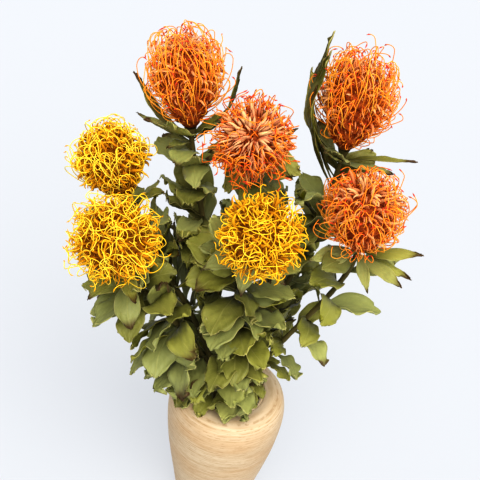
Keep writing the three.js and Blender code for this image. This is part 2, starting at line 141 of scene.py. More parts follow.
# A leaf's blade, in its fine detail. Its lift off the sheet is in millimetres on a leaf of full breadth.
BLADE_THICKNESS = 0.5
LEAF_ROWS = 20
LEAF_COLUMNS = 10
ROWS_TO_TIP = 1.25
FULL_BREADTH = 14
FLUTTER = 4.5
FLUTTER_BEATS = (2.2, 3.6)
FLUTTER_SKEW = 2.4
CRINKLE = 0.9
CRINKLE_BEATS = (3.1, 1.7)
EDGE_ROLL = 18
TIP_CURL = 16
UPPER_FLUTTER = 0.55
UPPER_ROLL = 0.7
NARROWING = 0.5
POINTED = 0.6
TIP_ROUNDING = 0.75
TIP_FROM = 0.75
END_BOW = 0.06
TOOTH = 0.02
TEETH = 2.5
BURNT_SHARE = 0.1
PALE_RISE = 110
SMOOTHING_ROUNDS = 3

# Leaves keep clear of each bloom's egg, grown a little, the other stems and the vase's rounded top.
BLOOM_LIMIT = 1.07
STEM_CLEARANCE = 2.2
VASE_CLEARANCE = 3.5
TOP_CROWN = RIM_HEIGHT + 1
TOP_FLAT_RADIUS = 50
TOP_EDGE_RADIUS = 69
TOP_EDGE_DROP = 24
SETTLE_ROUNDS = 4

# Blooms. The core's outline is a list of (radius, height) as shares of the girth and the rise.
NECK_AT = 0.97
CORE_OUTLINE = [
    (0.02, -NECK_AT), (0.14, -NECK_AT + 0.004), (0.44, -0.68),
    (0.6, -0.3), (0.6, 0.1), (0.42, 0.42), (0.02, 0.56),
]
CORE_SWELL = 0.13
CORE_LOBES = 5
CORE_TWIST = 0.45
CORE_SHRINK = 0.9
CORE_KNOBS = 0.05
CORE_ROWS = 30
CORE_COLUMNS = 44
NECK_BELOW = -0.9
FLORETS_MIDDLE = -0.2
FLORETS_REACH = 0.72
FLORETS_A_BLOOM = 1000
GOLDEN_TURN = math.pi * (3 - math.sqrt(5))
GOLDEN_SHARE = 0.61803
TAPER = 0.5
LUMP = 0.085
LEAST_GROWTH, MOST_GROWTH = 0.05, 2.0
GROWTH_ROUNDS = 24

# The styles. A pair is a property's least and most, or its value for a straight bloom and a curly one. A
# pair of pairs gives each limit as its value without curl and what full curl adds.
STYLE_COUNT = 300
FIRST_STYLE = 1
STYLE_STEPS = 22
STYLE_SIDES = 5
LOWEST_STYLE = 2.6
STYLE_THICKNESS = dict(orange=0.49, yellow=0.48)
STYLE_TAPER = dict(root=1.1, lost=0.35)
STYLE_TIP = 0.12
CLUB = dict(swell=0.8, at=0.955, length=0.035)
STYLE_TILT = 0.62
MOST_TILT = 1.0
LOOSENESS = (0.35, 1.4)
SKIRT_FROM = 1.7
SKIRT_DEPTH = 0.7
SKIRT_DROOP = 0.9
CROWN_TO = 0.9
HOOK_FROM = (0.72, 0.4)
BEND = (0.5, 1.5)
HOOK = ((1.6, 1), (3.6, 3))
BEND_LEAN = (-0.7, 0.7)
HOOK_SWING = (-1.6, 1.6)
WIGGLE = ((0.3, 0.4), (1.3, 0.3))
WIGGLE_BEATS = 1.6
STRAY_SHARE = 0.08
SHORT_REACH = (0.52, 0.7)
LEAST_REACH = 0.78
FURTHEST = 1.04

# The florets' lobes, in the same way.
LOBE_COUNT = 330
FIRST_LOBE = 501
LOBE_STEPS = 8
LOBE_SIDES = 4
LOWEST_LOBE = 2.9
LOBE_TURN = 0.8
LOBE_FLATNESS = 0.35
LOBE_WIDTH = dict(orange=1.4, yellow=1.7)
LOBE_WIDTHS = (0.65, 1.1)
LOBE_TILT = 0.8
MOST_LOBE_TILT = 1.2
LOBE_JITTER = 0.9
LOBE_SWAY = 1.2
LOBE_CURL = ((0.6, 1.6), (3.4, 1.2))
LOBE_LEAN = (-0.8, 0.8)
LOBE_LENGTH = (0.28, 0.46)
LOW_LOBES_FROM = 1.4
CROWN_LOBES_TO = 1.1
FLECKED_ABOVE = 0.75
FLECK = 0.5
PALE_GROWTH = 0.55

# Each stem passes the mouth at `mouth` and ends below its bloom, whose middle is `bloom`. Its main leaves
# start towards `facing`, in degrees, and the lowest are `low_leaves` of their full length. A smaller leaf
# grows at each share in `fillers` of the way from one main leaf to the next. The leaves under the bloom are
# its `collar`, from dark to pale by `collar_tone`: (degrees about the bloom, length, pitch at root, at tip,
# width). The `extra` ones fill the bunch: (share of the stem's height, compass angle, and the rest alike).
# The styles' `redness` and `curl`, the `skirt` that spreads at the bloom's foot, and how `bare` of long
# styles its top is, run from 0 to 1. Shares of the bloom's egg are how `slim` it is across its side, and
# how far its stray styles reach.
USUAL = dict(low_leaves=1, fillers=[0.5, 0.25], collar_tone=0.5, bare=0, slim=1, stray_reach=1.15)
STEMS = [
    dict(
        kind="orange", girth=42, rise=55, leaves=17, facing=188,
        mouth=(-14, 13), bloom=(-95, 60, 530), axis=(-0.18, 0.04, 0.98),
        collar=[
            (172, 88, 0.8, 0.45, 0.13), (12, 86, 0.95, 0.7, 0.13), (215, 60, 0.8, 1, 0.2),
            (186, 62, 1, 0.9, 0.16), (4, 108, 1, 0.85, 0.1), (245, 44, 1, 1.5, 0.22),
        ],
        extra=[
            (0.4, 200, 80, 0.9, 1.3, 0.3), (0.46, 240, 80, 0.9, 1.6, 0.32),
            (0.52, 185, 76, 0.85, 1.2, 0.3), (0.58, 225, 74, 0.9, 1.5, 0.32),
            (0.64, 265, 70, 0.9, 1.5, 0.3), (0.7, 200, 64, 0.9, 1.2, 0.28),
            (0.84, 285, 60, 0.6, 1.1, 0.3), (0.97, 250, 50, 0.4, 1.2, 0.34),
            (0.97, 10, 40, 0.9, 1.5, 0.34), (0.05, 195, 54, 1.2, 1.75, 0.2),
        ],
        collar_tone=0.35, redness=0, curl=0.2, skirt=0.4, bare=0.6,
    ),
    dict(
        kind="orange", girth=45, rise=41, leaves=15, facing=240,
        mouth=(-2, 21), bloom=(-22, 2, 509), axis=(-0.02, -0.76, 0.65),
        collar=[
            (-35, 62, 0.9, 1.1, 0.16), (-150, 56, 0.9, 1.2, 0.2), (30, 50, 1, 1.3, 0.2),
            (200, 50, 0.9, 1.3, 0.2),
        ],
        extra=[
            (0.55, 190, 62, 0.9, 1.3, 0.3), (0.66, 330, 60, 0.9, 1.2, 0.28),
            (0.76, 200, 56, 0.9, 1.2, 0.28),
        ],
        collar_tone=0.2, redness=0.55, curl=0.35, skirt=0.5, bare=0.95, slim=0.97, stray_reach=1.2,
    ),
    dict(
        kind="orange", girth=43, rise=57, leaves=14, facing=270, low_leaves=0.7,
        mouth=(15, 14), bloom=(69, 66, 534), axis=(0, 0, 1),
        collar=[
            (175, 108, 0.9, -0.1, 0.09), (205, 100, 1, -0.1, 0.1), (-8, 76, 1.2, 1.35, 0.13),
            (235, 46, 0.8, 1.1, 0.3), (168, 96, 1, 0.1, 0.12), (-30, 60, 1.1, 1.5, 0.2),
            (222, 44, 0.5, 0.9, 0.28),
        ],
        extra=[
            (0.88, 188, 170, 0.72, -0.12, 0.07), (0.87, 205, 160, 0.75, -0.05, 0.07),
            (0.9, 172, 120, 0.8, 0.1, 0.09), (0.28, 285, 60, 0.9, 1.3, 0.3),
            (0.35, 330, 60, 0.9, 1.3, 0.28), (0.42, 300, 62, 0.9, 1.4, 0.3),
            (0.5, 200, 66, 0.8, 1.1, 0.26), (0.62, 250, 60, 0.9, 1.3, 0.26),
            (0.74, 215, 58, 0.8, 1, 0.24), (0.96, 250, 44, 0.5, 1.2, 0.36),
        ],
        redness=0.15, curl=0.1, skirt=0.8, bare=0.35, slim=0.98,
    ),
    dict(
        kind="orange", girth=46, rise=50, leaves=13, facing=236, low_leaves=0.4, fillers=[],
        mouth=(21, -4), bloom=(94, -8, 456), axis=(-0.12, -0.3, 0.95),
        collar=[
            (-8, 66, 1.15, 1.3, 0.15), (-40, 60, 1.3, 1.6, 0.2), (215, 62, 1.1, 1.5, 0.26),
            (-22, 60, 1.35, 1.7, 0.15), (160, 52, 0.9, 0.6, 0.2), (-75, 50, 1.35, 1.7, 0.2),
        ],
        extra=[
            (0.6, 180, 56, 0.8, 1.1, 0.28), (0.72, 160, 54, 0.8, 0.9, 0.26),
            (0.2, 200, 50, 0.8, 1.2, 0.3), (0.28, 100, 50, 0.7, 1, 0.3),
            (0.35, 180, 54, 0.6, 0.9, 0.3), (0.42, 60, 50, 0.6, 0.9, 0.28),
        ],
        collar_tone=0.9, redness=0.2, curl=0.25, skirt=0.8, bare=0.6, slim=0.96,
    ),
    dict(
        kind="yellow", girth=42, rise=46, leaves=13, facing=232, low_leaves=0.9,
        mouth=(-22, 0), bloom=(-155, 22, 446), axis=(-0.34, -0.09, 0.94),
        collar=[(-10, 60, 1.1, 1.35, 0.22), (20, 46, 1, 1.2, 0.24)],
        extra=[
            (0.7, 350, 56, 0.7, 0.9, 0.3), (0.82, 20, 50, 0.7, 0.8, 0.28),
            (0.4, 10, 80, 0.55, 0.8, 0.28), (0.46, 45, 84, 0.5, 0.7, 0.28),
            (0.54, 20, 80, 0.5, 0.8, 0.28), (0.6, 60, 74, 0.5, 0.7, 0.28),
        ],
        redness=0.2, curl=0.8, skirt=0, slim=0.95,
    ),
    dict(
        kind="yellow", girth=48, rise=44, leaves=16, facing=240,
        mouth=(-17, -14), bloom=(-132, -60, 413), axis=(-0.04, -0.5, 0.86),
        collar=[(-60, 54, 1.2, 1.5, 0.24), (-120, 50, 1.3, 1.7, 0.3), (0, 50, 1.1, 1.4, 0.24)],
        extra=[
            (0.62, 20, 66, 0.7, 1, 0.3), (0.74, 0, 62, 0.7, 1, 0.3),
            (0.4, 50, 84, 0.4, 0.7, 0.28), (0.5, 30, 84, 0.4, 0.7, 0.28),
            (0.04, 250, 42, 1.35, 2.1, 0.3), (0.07, 218, 52, 1.25, 1.9, 0.24),
        ],
        redness=0.5, curl=0.9, skirt=0.7, stray_reach=1.12,
    ),
    dict(
        kind="yellow", girth=45, rise=47, leaves=16, facing=270,
        mouth=(2, -20), bloom=(0, -76, 459), axis=(0.14, -0.68, 0.72),
        collar=[(-140, 58, 1.1, 1.4, 0.24), (-40, 52, 1.2, 1.6, 0.26), (-90, 50, 1.3, 1.8, 0.3)],
        extra=[
            (0.6, 180, 68, 0.8, 1.1, 0.3), (0.72, 160, 66, 0.8, 1, 0.3),
            (0.8, 200, 58, 0.8, 1.1, 0.28), (0.3, 350, 58, 0.9, 1.3, 0.3),
            (0.4, 10, 60, 0.9, 1.2, 0.28), (0.5, 345, 58, 0.9, 1.2, 0.28),
            (0.05, 268, 40, 1.35, 2.1, 0.3), (0.07, 300, 44, 1.35, 2.2, 0.28),
            (0.09, 240, 44, 1.3, 2, 0.3),
        ],
        collar_tone=0.4, redness=0.85, curl=1, skirt=0.1, slim=0.91, stray_reach=1.05,
    ),
]


def mix(a, b, t):
    return a + (b - a) * t


def chance(index, channel):
    """A repeatable number from 0 to 1 for the item `index` and its property `channel`."""
    wave = np.sin(index * 12.9898 + channel * 78.233) * 43758.5453
    return wave - np.floor(wave)


def unit(v):
    v = np.asarray(v, float)
    return v / np.maximum(np.linalg.norm(v, axis=-1, keepdims=True), 1e-12)


def dot(a, b):
    return np.sum(a * b, axis=-1, keepdims=True)


def angles_round(count):
    return np.arange(count) * TURN / count


def square_to(axis, hint):
    """Two directions square to `axis` and to each other, the first towards `hint`."""
    first = unit(hint - axis * dot(hint, axis))
    return first, np.cross(axis, first)


class Stem:
    """A stem's places: its bloom's frame, and its line, straight in the vase and curved above it."""

    def __init__(self, index, facts):
        self.__dict__.update(facts)
        self.index = index
        self.axis = unit(self.axis)
        self.middle = np.array(self.bloom, float)
        self.side, self.back = square_to(self.axis, EAST)
        self.frame = np.array([self.side, self.back, self.axis])
        self.top = self.middle - self.axis * (NECK_AT * self.rise + TOUCH_GAP)
        x, y = self.mouth
        self.entry = np.array([x, y, RIM_HEIGHT], float)
        self.foot = np.array([x * FOOT_SHARE, y * FOOT_SHARE, BORE_FLOOR_HEIGHT + TOUCH_GAP])
        self.reach = np.linalg.norm(self.top - self.entry)
        upwards = unit(self.entry - self.foot)
        self.control = [
            self.entry,
            self.entry + upwards * RISE_PULL * self.reach,
            self.top - self.axis * BLOOM_PULL * self.reach,
            self.top,
        ]
        turn = math.radians(self.facing)
        self.outward = np.array([math.cos(turn), math.sin(turn), 0])
        self.line = np.array([self.point(i / LINE_STEPS) for i in range(LINE_STEPS + 1)])

    def point(self, t):
        a, b, c, d = self.control
        s = 1 - t
        return a * s**3 + 3 * b * s * s * t + 3 * c * s * t * t + d * t**3

    def tangent(self, t):
        return unit(self.point(min(1, t + 0.0001)) - self.point(max(0, t - 0.0001)))


stems = [Stem(index, {**USUAL, **facts}) for index, facts in enumerate(STEMS)]


def vase_top(radius):
    """The lowest height that a leaf may have above the vase, at `radius` from its axis."""
    past = np.maximum(0, (radius - TOP_FLAT_RADIUS) / (TOP_EDGE_RADIUS - TOP_FLAT_RADIUS))
    return TOP_CROWN - TOP_EDGE_DROP * past * past + VASE_CLEARANCE


def nearest_on(line, points):
    apart = np.sum((points[:, None, :] - line[None, :, :]) ** 2, axis=2)
    return line[np.argmin(apart, axis=1)]


def settle(points, own):
    """Moves a leaf's points off the blooms and the vase, and keeps them on their own stem's side."""
    p = np.array(points, float)
    for _ in range(SETTLE_ROUNDS):
        home = nearest_on(own.line, p)
        for other in (stem for stem in stems if stem is not own):
            away = nearest_on(other.line, p)
            towards_home = unit(home - away)
            inside = dot(p - (home + away) / 2, towards_home)
            p += towards_home * np.maximum(0, STEM_CLEARANCE - inside)
        for bloom in stems:
            offset = p - bloom.middle
            local = offset @ bloom.frame.T / np.array([bloom.girth, bloom.girth, bloom.rise])
            depth = np.linalg.norm(local, axis=1, keepdims=True)
            pushed = bloom.middle + offset * (BLOOM_LIMIT / np.maximum(depth, 1e-6))
            p = np.where(depth < BLOOM_LIMIT, pushed, p)
        radius = np.hypot(p[:, 0], p[:, 1])
        low = (radius < TOP_EDGE_RADIUS - 1) & (p[:, 2] < vase_top(radius))
        p[low, 2] = vase_top(radius[low])
    return p


def leaf_half_width(leaf, u):
    """Half the blade's width at `u`: it swells from its root and has a rounded tip."""
    form = LEAF_OUTLINE
    swelling = np.sin((math.pi / 2) * np.minimum(u / LEAF_WIDEST_AT, 1)) ** form["fullness"]
    lower = form["root"] + form["swell"] * swelling
    upper = np.sqrt(1 - (np.maximum(u - LEAF_WIDEST_AT, 0) / form["tip"]) ** 2)
    return leaf["length"] * leaf["broad"] * np.where(u < LEAF_WIDEST_AT, lower, upper)


def loose_leaf_points(leaf, u, v):
    """Points of the blade's middle sheet, `u` along it and `v` across it, before they are settled."""
    u, v = u[:, None], v[:, None]
    first = leaf["root_pitch"]
    turn = leaf["tip_pitch"] - first
    pitch = first + turn * u
    run = leaf["length"] / turn
    centre = leaf["root"] + leaf["along"] * run * (np.sin(pitch) - math.sin(first))
    centre = centre + leaf["out"] * run * (math.cos(first) - np.cos(pitch))
    roll = leaf["twist"] * u
    face = leaf["along"] * np.sin(pitch) - leaf["out"] * np.cos(pitch)
    half = leaf_half_width(leaf, u)
    wave = leaf["wave"] * np.sin(TURN * leaf["waves"] * u + leaf["phase"] + v)
    lift = v * v * (leaf["cup"] * half + wave)
    sideways = v * half * np.cos(roll) + lift * np.sin(roll)
    upwards = lift * np.cos(roll) - v * half * np.sin(roll)
    return centre + leaf["across"] * sideways + face * upwards


def leaf_points(leaf, u, v):
    """Points of the blade's middle sheet where the leaf comes to rest."""
    loose = loose_leaf_points(leaf, u, v)
    settled = settle(loose, leaf["stem"])
    share = np.minimum(1, u[:, None] / ROOT_SHARE)
    return loose + (settled - loose) * share


def leaf_at(stem, number, at, out, **facts):
    """A leaf that grows from its stem at a share `at` of its height, towards `out`."""
    along = stem.tangent(at)
    return dict(
        number=number,
        stem=stem,
        along=along,
        out=out,
        across=np.cross(along, out),
        root=stem.point(at) + out * LEAF_ROOT_OFFSET,
        phase=TURN * chance(number, 9),
        **facts,
    )


def crowding_of(leaf, taken):
    """Where some points of a leaf come to rest, and how far they were pushed or are near those taken."""
    loose = loose_leaf_points(leaf, *CROWDING_SPOTS)
    spots = settle(loose, leaf["stem"])
    room = np.full(len(spots), float(LEAF_ROOM))
    if len(taken):
        apart = np.linalg.norm(spots[:, None, :] - taken[None, :, :], axis=2)
        room = np.minimum(room, apart.min(axis=1))
    return spots, np.sum(np.linalg.norm(spots - loose, axis=1) + LEAF_ROOM - room)


def plan_leaf(stem, k, taken):
    """Leaf `k` of a stem, turned about the stem to where it has room among the places already taken."""
    number = stem.index * LEAVES_A_STEM + k + 1
    level = k / (stem.leaves - 1)
    filler = k % 1 > 0
    at = mix(LOWEST_LEAF_RISE / stem.reach, 1 - LEAF_TO_NECK / stem.reach, level**LEAF_CROWDING)
    place = level * (len(LEAF_LENGTHS) - 1)
    lower = min(math.floor(place), len(LEAF_LENGTHS) - 2)
    full_length = mix(LEAF_LENGTHS[lower], LEAF_LENGTHS[lower + 1], place - lower)
    grown_length = full_length * mix(stem.low_leaves, 1, min(1, 1.4 * level))
    e1, e2 = square_to(stem.tangent(at), stem.outward)
    draw = partial(chance, number)
    spiral = (k * GOLDEN_SHARE + draw(1) * SPREAD_JITTER) % 1
    grown = (spiral - 0.5) * 2 * mix(*LEAF_SPREAD, level)
    root_pitch = mix(*ROOT_PITCH, level) + ROOT_JITTER * (draw(2) - 0.5)
    tip_pitch = root_pitch + mix(*PITCH_GAIN, level) + TIP_JITTER * (draw(3) - 0.3)
    twist = LEAF_TWIST * (draw(10) - 0.5)
    if filler:
        root_pitch += FILLER_ROOT_JITTER * (draw(12) - 0.5)
        tip_pitch += FILLER_TIP_JITTER * (draw(13) - 0.5)
        twist *= FILLER_TWIST
    facts = dict(
        length=grown_length * mix(*LENGTH_RANGE, draw(4)) * (FILLER_SIZE if filler else 1),
        broad=HALF_WIDTH_SHARE * mix(*WIDTH_RANGE, draw(5)),
        cup=mix(*CUP_RANGE, draw(6)),
        wave=mix(*WAVE_RANGE, draw(7)),
        waves=mix(*WAVES_RANGE, draw(8)),
        twist=twist,
        burn=0.0,
    )
    best = None
    for turn in LEAF_TURNS:
        angle = grown + turn
        out = e1 * math.cos(angle) + e2 * math.sin(angle)
        droop = FRONT_DROOP * max(0, -out[1]) ** 2 * min(1, 3 * level)
        pitches = dict(root_pitch=root_pitch + 0.25 * droop, tip_pitch=tip_pitch + droop)
        tried = leaf_at(stem, number, at, out, **facts, **pitches)
        tried["spots"], tried["crowding"] = crowding_of(tried, taken)
        if best is None or tried["crowding"] < best["crowding"] - 1e-6:
            best = tried
    return best


def placed_leaves(stem, first, entries, east, north, burn):
    """Leaves that stand where they are put, at angles from `east` towards `north`."""
    leaves = []
    for k, (at, degrees, *facts) in enumerate(entries):
        number = stem.index * LEAVES_A_STEM + first + k
        angle = math.radians(degrees)
        out, _ = square_to(stem.tangent(at), east * math.cos(angle) + north * math.sin(angle))
        twist = COLLAR_TWIST * (chance(number, 10) - 0.5)
        form = dict(zip(("length", "root_pitch", "tip_pitch", "broad"), facts), **COLLAR_MARGIN)
        leaves.append(leaf_at(stem, number, at, out, twist=twist, burn=burn, **form))
    return leaves


def plan_leaves(stem):
    """All the leaves of a stem: main leaves and fillers, which keep apart, and then the placed ones."""
    leaves = []
    taken = np.zeros((0, 3))
    fillers = [k + share for share in stem.fillers for k in range(FIRST_FILLER, stem.leaves - 1)]
    for k in list(range(stem.leaves)) + fillers:
        leaf = plan_leaf(stem, k, taken)
        taken = np.vstack([taken, leaf["spots"]])
        leaves.append(leaf)
    collar = [
        (1 - (COLLAR_TO_NECK + COLLAR_STAGGER * (k % 2)) / stem.reach, *facts)
        for k, facts in enumerate(stem.collar)
    ]
    leaves += placed_leaves(stem, FIRST_COLLAR, collar, stem.side, stem.back, burn=1.0)
    return leaves + placed_leaves(stem, FIRST_EXTRA, stem.extra, EAST, NORTH, burn=0.0)


def new_object(name, data):
    made = bpy.data.objects.new(name, data)
    bpy.context.collection.objects.link(made)
    return made


class Shape:
    """Vertices in millimetres, faces with their material's number, and named values on the vertices."""

    def __init__(self):
        self.points = []
        self.faces = []
        self.slots = []
        self.values = {}
        self.count = 0

    def add(self, points, faces, slot=0, **values):
        points = points.reshape(-1, 3)
        self.points.append(points)
        self.faces.append(faces + self.count)
        self.slots.append(np.full(len(faces), slot))
        for name, value in values.items():
            self.values.setdefault(name, []).append(np.broadcast_to(value, len(points)))
        self.count += len(points)

    def build(self, name, materials):
        mesh = bpy.data.meshes.new(name)
        points = np.concatenate(self.points) * MM
        faces = [face for block in self.faces for face in block.tolist()]
        mesh.from_pydata(points.tolist(), [], faces)
        for material in materials:
            mesh.materials.append(material)
        mesh.polygons.foreach_set("material_index", np.concatenate(self.slots).astype(np.int32))
        mesh.polygons.foreach_set("use_smooth", np.ones(len(faces), bool))
        for key, blocks in self.values.items():
            layer = mesh.attributes.new(key, "FLOAT", "POINT")
            layer.data.foreach_set("value", np.concatenate(blocks).astype(np.float32))
        mesh.validate()
        return new_object(name, mesh)


def grid_faces(rows, columns, closed=False):
    """Quads between the points of a grid of `rows` by `columns`, joined round if it is closed."""
    across = columns if closed else columns - 1
    i, j = np.meshgrid(np.arange(rows - 1), np.arange(across), indexing="ij")
    nxt = (j + 1) % columns
    here, beyond = i * columns, (i + 1) * columns
    return np.stack([here + j, here + nxt, beyond + nxt, beyond + j], -1).reshape(-1, 4)


def turned(radius, height, angle):
    """A grid of points round the axis, with a row for each height and a column for each angle."""
    x, y = radius * np.cos(angle), radius * np.sin(angle)
    return np.stack([x, y, np.broadcast_to(height, x.shape)], -1)


def add_tubes(shape, paths, radii, sides, slot, flat=1.0, **values):
    """Closed tubes along paths of the same number of steps, `flat` times as thick as they are wide."""
    count, steps, _ = paths.shape
    tangents = unit(np.gradient(paths, axis=1))
    frame_a = np.zeros_like(paths)
    hint = np.broadcast_to(TUBE_HINT, (count, 3))
    for i in range(steps):
        frame_a[:, i], _ = square_to(tangents[:, i], hint)
        hint = frame_a[:, i]
    frame_b = np.cross(tangents, frame_a)
    angles = angles_round(sides)
    wide = frame_a[:, :, None] * np.cos(angles)[:, None]
    thick = frame_b[:, :, None] * np.sin(angles)[:, None] * flat
    points = paths[:, :, None] + (wide + thick) * radii[:, :, None, None]
    quads = grid_faces(steps, sides, closed=True)
    starts = np.arange(count)[:, None, None] * steps * sides
    faces = (quads[None] + starts).reshape(-1, 4)
    full = {key: np.broadcast_to(value, (count, steps)) for key, value in values.items()}
    shape.add(points, faces, slot, **{key: np.repeat(value, sides) for key, value in full.items()})


def smoothed(grid):
    """A grid of vectors, each drawn towards its neighbours a few times over."""
    for _ in range(SMOOTHING_ROUNDS):
        padded = np.pad(grid, ((1, 1), (1, 1), (0, 0)), mode="edge")
        grid = (padded[:-2, 1:-1] + padded[2:, 1:-1] + padded[1:-1, :-2] + padded[1:-1, 2:]) / 4
    return grid


def normals(grid):
    return unit(np.cross(np.gradient(grid, axis=1), np.gradient(grid, axis=0)))


def leaf_sheet(leaf, t, v, low):
    """The blade's middle sheet as a grid: as planned, but with a flutter, rolled edges and a curled tip."""
    burn, grid = leaf["burn"], (LEAF_ROWS, LEAF_COLUMNS + 1, 3)
    draw = partial(chance, leaf["number"])
    aside = np.abs(v)
    tooth = TOOTH * draw(26) * np.cos(TURN * TEETH * aside)
    u = t * (1 - END_BOW + tooth * t**6 + END_BOW * (1 - aside**2))
    breadth = np.sqrt(1 - TIP_ROUNDING * np.clip((t - TIP_FROM) / (1 - TIP_FROM), 0, 1) ** 2)
    breadth *= 1 - NARROWING * (0.35 + 0.65 * draw(27) * t**2)
    breadth *= 1 - POINTED * burn * t**3
    loose = loose_leaf_points(leaf, u, v * breadth).reshape(grid)
    settled = leaf_points(leaf, u, v * breadth).reshape(grid)
    sheet = loose + smoothed(settled - loose)

    size = min(1, leaf_half_width(leaf, LEAF_WIDEST_AT) / FULL_BREADTH)
    lively = (1 - 0.6 * burn) * size * mix(UPPER_FLUTTER, 1.0, low)
    beat = TURN * (mix(*FLUTTER_BEATS, draw(20)) * u + draw(21))
    flutter = FLUTTER * lively * np.sin(beat + FLUTTER_SKEW * np.sign(v)) * aside**3
    along_beats, across_beats = CRINKLE_BEATS
    crinkle = CRINKLE * size * np.sin(TURN * (along_beats * u + across_beats * v + draw(22)))
    roll = EDGE_ROLL * size * mix(UPPER_ROLL, 1.0, low) * (draw(28) - 0.4)
    roll = roll * aside**2 * np.sin(math.pi * t)
    curl = TIP_CURL * lively * (draw(29) - 0.5) * t**3
    lift = (flutter * breadth + crinkle) * np.minimum(1, 2 * t) + roll * breadth + curl
    return sheet + normals(loose) * lift.reshape(*grid[:2], 1)


def add_leaf(shape, leaf):
    """One blade: its sheet with a thickness, closed round its edge, and the values that colour it."""
    rows, columns = LEAF_ROWS, LEAF_COLUMNS + 1
    number, stem = leaf["number"], leaf["stem"]
    lengthwise = 1 - (1 - np.linspace(0, 1, rows)) ** ROWS_TO_TIP
    t, v = (part.ravel() for part in np.meshgrid(lengthwise, np.linspace(-1, 1, columns), indexing="ij"))
    low = np.clip(1 - (leaf["root"][2] - RIM_HEIGHT) / PALE_RISE, 0, 1)
    sheet = leaf_sheet(leaf, t, v, low)
    half = normals(sheet) * BLADE_THICKNESS / 2
    points = np.concatenate([(sheet + half).reshape(-1, 3), (sheet - half).reshape(-1, 3)])

    face = grid_faces(rows, columns)
    count = rows * columns
    place = np.arange(count).reshape(rows, columns)
    rim = np.concatenate([place[0], place[1:, -1], place[-1, -2::-1], place[-2:0:-1, 0]])
    following = np.roll(rim, -1)
    edge = np.stack([following, rim, rim + count, following + count], -1)
    faces = np.concatenate([face, face[:, [0, 3, 2, 1]] + count, edge])

    tone = mix(min(1, 0.85 * chance(number, 23) + 0.12 * low), stem.collar_tone, 0.8 * leaf["burn"])
    burn = max(leaf["burn"], float(chance(number, 24) > 1 - BURNT_SHARE))
    under = np.repeat([0.0, 1.0], count)
    shape.add(points, faces, 0, along=np.tile(t, 2), across=np.tile(v, 2), tone=tone, under=under, burn=burn)


def make_leafy_stem(stem, name, materials):
    """A knotty stem that flares to the neck under its bloom, with all its leaves."""
    shape = Shape()
    straight = [mix(stem.foot, stem.entry, i / RINGS_IN_VASE) for i in range(RINGS_IN_VASE)]
    rising = [stem.point(i / STEM_RINGS) for i in range(STEM_RINGS + 1)]
    path = np.array(straight + rising)
    from_top = np.linalg.norm(path - stem.top, axis=1)
    flare = np.clip(1 - from_top / NECK_LENGTH, 0, 1) ** 0.8
    knots = STEM_KNOTS * np.sin(np.arange(len(path)) * 1.7)
    radii = STEM_RADIUS + (NECK_RADIUS - STEM_RADIUS) * flare + knots * (flare == 0)
    plain = dict(along=0.5, across=0.0, tone=0.5, under=0.0, burn=0.0)
    add_tubes(shape, path[None], radii[None], STEM_SIDES, 1, **plain)
    for leaf in plan_leaves(stem):
        add_leaf(shape, leaf)
    return shape.build(name, materials)


def core_radius(height):
    """The core's radius at `height`, both as shares of the bloom's girth and rise."""
    radii, heights = np.array(CORE_OUTLINE).T
    return np.interp(height, heights, radii)


class Florets:
    """Places spread over a bloom's core, in the bloom's own frame, each with its own random numbers."""

    def __init__(self, stem, count, first, lowest, turned=0, crowned=0):
        order = np.arange(count)
        self.numbers = stem.index * FLORETS_A_BLOOM + order + first
        share = ((order + 0.5) / count) ** (1 + crowned)
        self.polar = np.arccos(1 - (1 - math.cos(lowest)) * share)[:, None]
        turn = order * GOLDEN_TURN + turned
        self.radial = np.stack([np.cos(turn), np.sin(turn), np.zeros(count)], -1)
        self.around = np.cross(UP, self.radial)
        height = FLORETS_MIDDLE + FLORETS_REACH * np.cos(self.polar)
        aside = self.radial * core_radius(height) * CORE_SHRINK * stem.girth
        self.root = aside + UP * height * stem.rise

    def draw(self, channel):
        """A number from 0 to 1 for each floret, as a column."""
        return chance(self.numbers, channel)[:, None]

    def headings(self, tilt, sway, channel):
        """Directions tilted from the bloom's axis, with a random lean of `sway` in all to the sides."""
        upwards = self.radial * np.sin(tilt) + UP * np.cos(tilt)
        return unit(upwards + self.around * sway * (self.draw(channel) - 0.5))


def between(limits, curl, share):
    """Between two limits, each of them given as its value without curl and what full curl adds."""
    (least, least_gain), (most, most_gain) = limits
    return mix(least + least_gain * curl, most + most_gain * curl, share)


def egg_depth(points, stem):
    """How far out points are in the bloom's egg, which narrows to its foot: 1 is on its surface."""
    local = points / np.array([stem.girth * stem.slim, stem.girth, stem.rise])
    below = np.clip(-local[..., 2], 0, 1)
    narrow = 1 - TAPER * (1 - stem.skirt) * below**1.5
    across = np.hypot(local[..., 0], local[..., 1]) / narrow
    return np.hypot(across, local[..., 2])


def fit_to_egg(paths, stem, target):
    """Grows or shrinks each path about its root until it just reaches the share `target` of the egg."""
    root = paths[:, :1]
    low = np.full(len(paths), LEAST_GROWTH)
    high = np.full(len(paths), MOST_GROWTH)
    for _ in range(GROWTH_ROUNDS):
        middle = (low + high) / 2
        reach = egg_depth(root + (paths - root) * middle[:, None, None], stem).max(axis=1)
        low = np.where(reach < target, middle, low)
        high = np.where(reach < target, high, middle)
    return root + (paths - root) * low[:, None, None]


def bend_along(heading, count, spin_at):
    """Paths of length 1 that start at the origin along `heading` and turn by spin_at(share) on the way."""
    paths = np.zeros((len(heading), count, 3))
    place = np.zeros_like(heading)
    step = 1 / (count - 1)
    for k in range(count):
        paths[:, k] = place
        heading = unit(heading + np.cross(spin_at(k / (count - 1)), heading) * step)
        place = place + heading * step
    return paths


